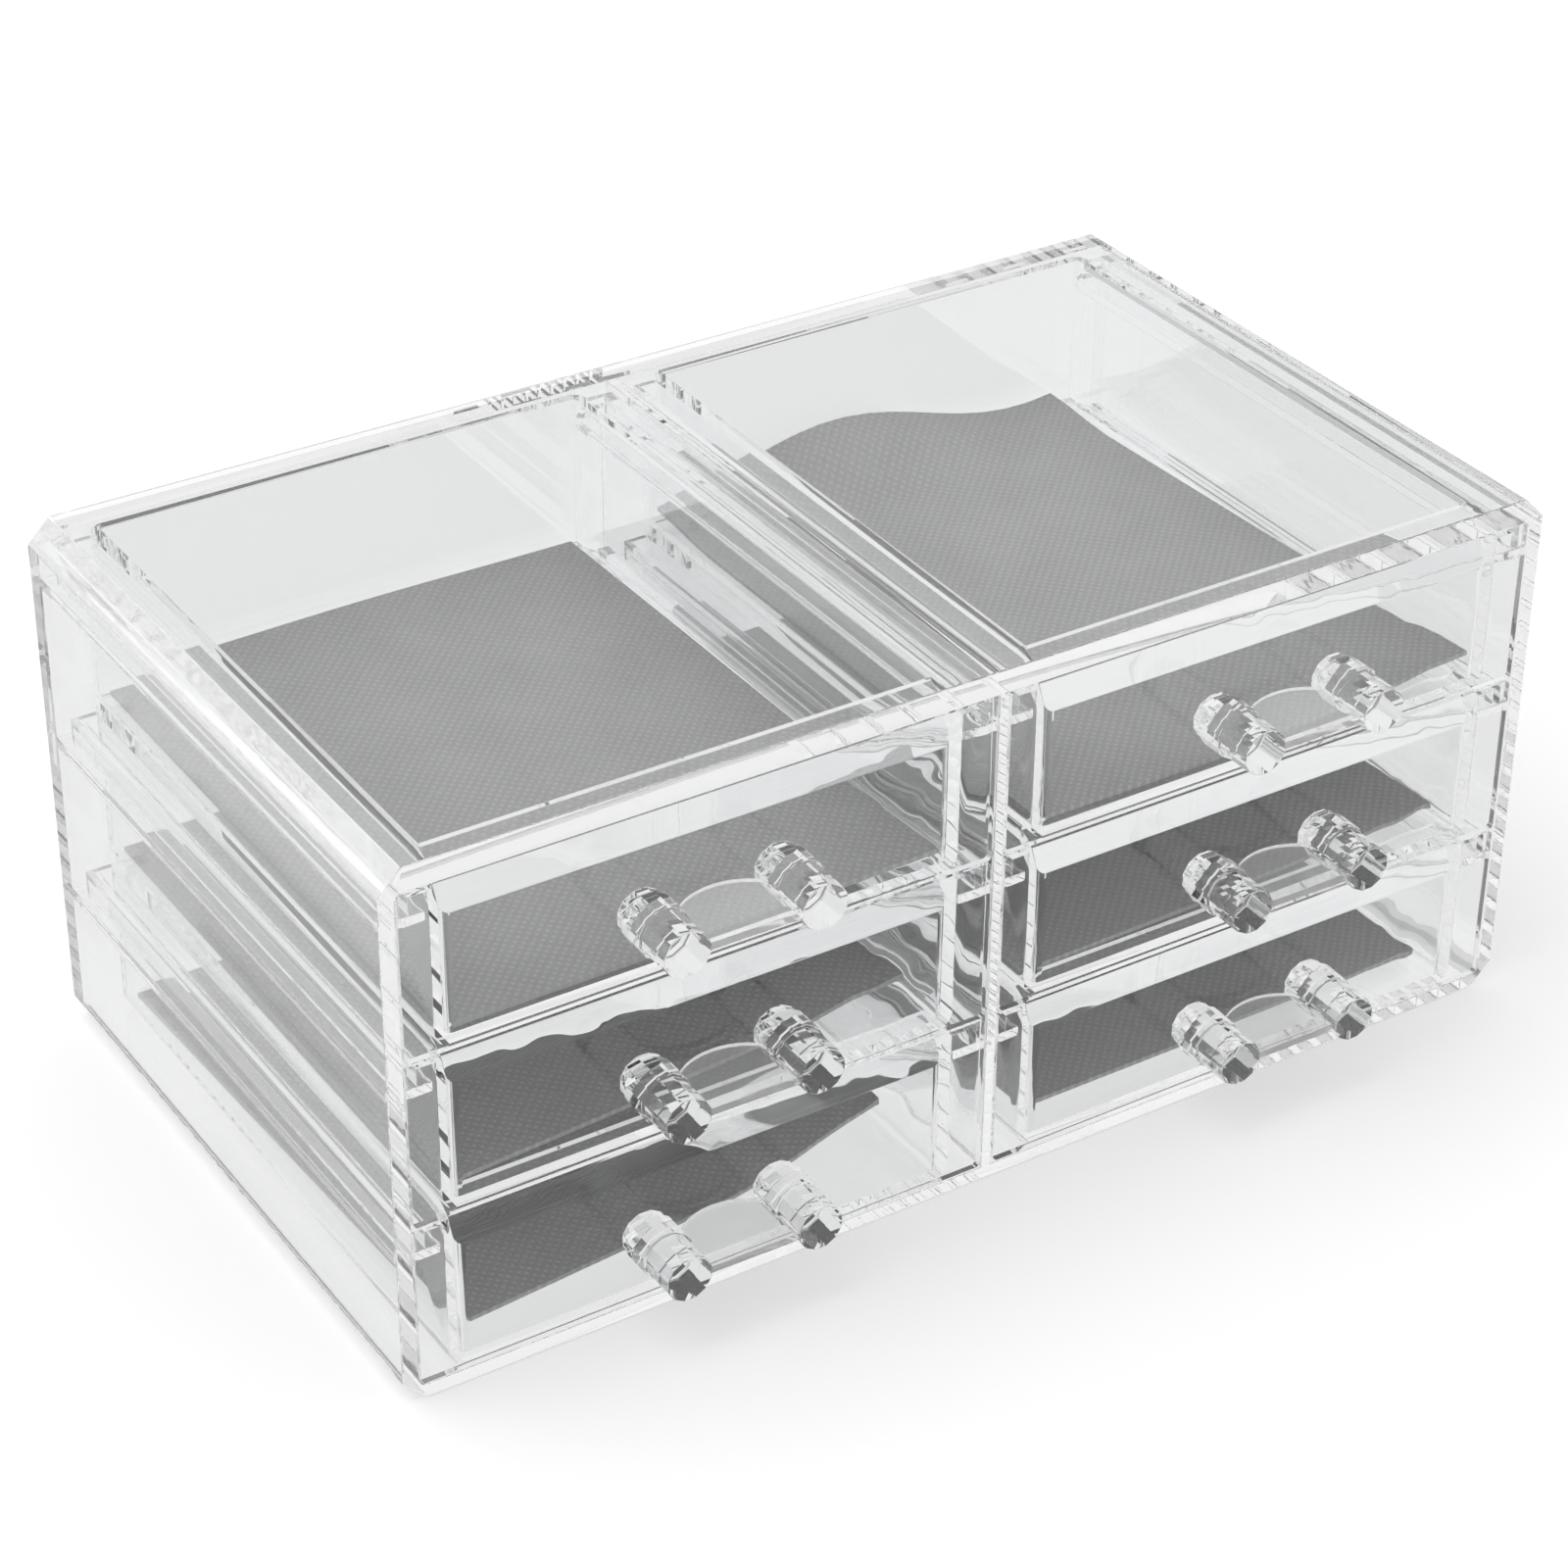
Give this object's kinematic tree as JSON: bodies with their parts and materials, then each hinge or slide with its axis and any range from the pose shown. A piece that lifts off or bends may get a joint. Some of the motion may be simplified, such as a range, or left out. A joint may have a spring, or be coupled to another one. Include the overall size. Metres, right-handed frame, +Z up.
{
  "type": "drawer organizer",
  "caption": "Clear desktop drawer organizer with side-by-side columns of sliding trays, two-post handles and loose liner mats.",
  "frame": {"origin": "centre of the case's footprint at its base", "axes": "+X to the viewer's right along the width, +Y to the back, +Z up; the drawers open towards -Y"},
  "size_m": [0.24, 0.1502, 0.108],
  "materials": {
    "clear_acrylic": "clear, polished",
    "liner_mat": "matt, finely embossed"
  },
  "bodies": {
    "case": {"case_shell": "clear_acrylic", "back_panel": "clear_acrylic", "centre_divider": "clear_acrylic"},
    "bottom_left_drawer": {"drawer_bottom_left": "clear_acrylic", "handle_bottom_left": "clear_acrylic", "mat_bottom_left": "liner_mat"},
    "middle_left_drawer": {"drawer_middle_left": "clear_acrylic", "handle_middle_left": "clear_acrylic", "mat_middle_left": "liner_mat"},
    "top_left_drawer": {"drawer_top_left": "clear_acrylic", "handle_top_left": "clear_acrylic", "mat_top_left": "liner_mat"},
    "bottom_right_drawer": {"drawer_bottom_right": "clear_acrylic", "handle_bottom_right": "clear_acrylic", "mat_bottom_right": "liner_mat"},
    "middle_right_drawer": {"drawer_middle_right": "clear_acrylic", "handle_middle_right": "clear_acrylic", "mat_middle_right": "liner_mat"},
    "top_right_drawer": {"drawer_top_right": "clear_acrylic", "handle_top_right": "clear_acrylic", "mat_top_right": "liner_mat"}
  },
  "joints": [
    {"name": "bottom_left_slide", "type": "slide", "parent": "case", "child": "bottom_left_drawer", "axis": [0, -1, 0], "range_m": [0, 0.11]},
    {"name": "middle_left_slide", "type": "slide", "parent": "case", "child": "middle_left_drawer", "axis": [0, -1, 0], "range_m": [0, 0.11]},
    {"name": "top_left_slide", "type": "slide", "parent": "case", "child": "top_left_drawer", "axis": [0, -1, 0], "range_m": [0, 0.11]},
    {"name": "bottom_right_slide", "type": "slide", "parent": "case", "child": "bottom_right_drawer", "axis": [0, -1, 0], "range_m": [0, 0.11]},
    {"name": "middle_right_slide", "type": "slide", "parent": "case", "child": "middle_right_drawer", "axis": [0, -1, 0], "range_m": [0, 0.11]},
    {"name": "top_right_slide", "type": "slide", "parent": "case", "child": "top_right_drawer", "axis": [0, -1, 0], "range_m": [0, 0.11]}
  ]
}
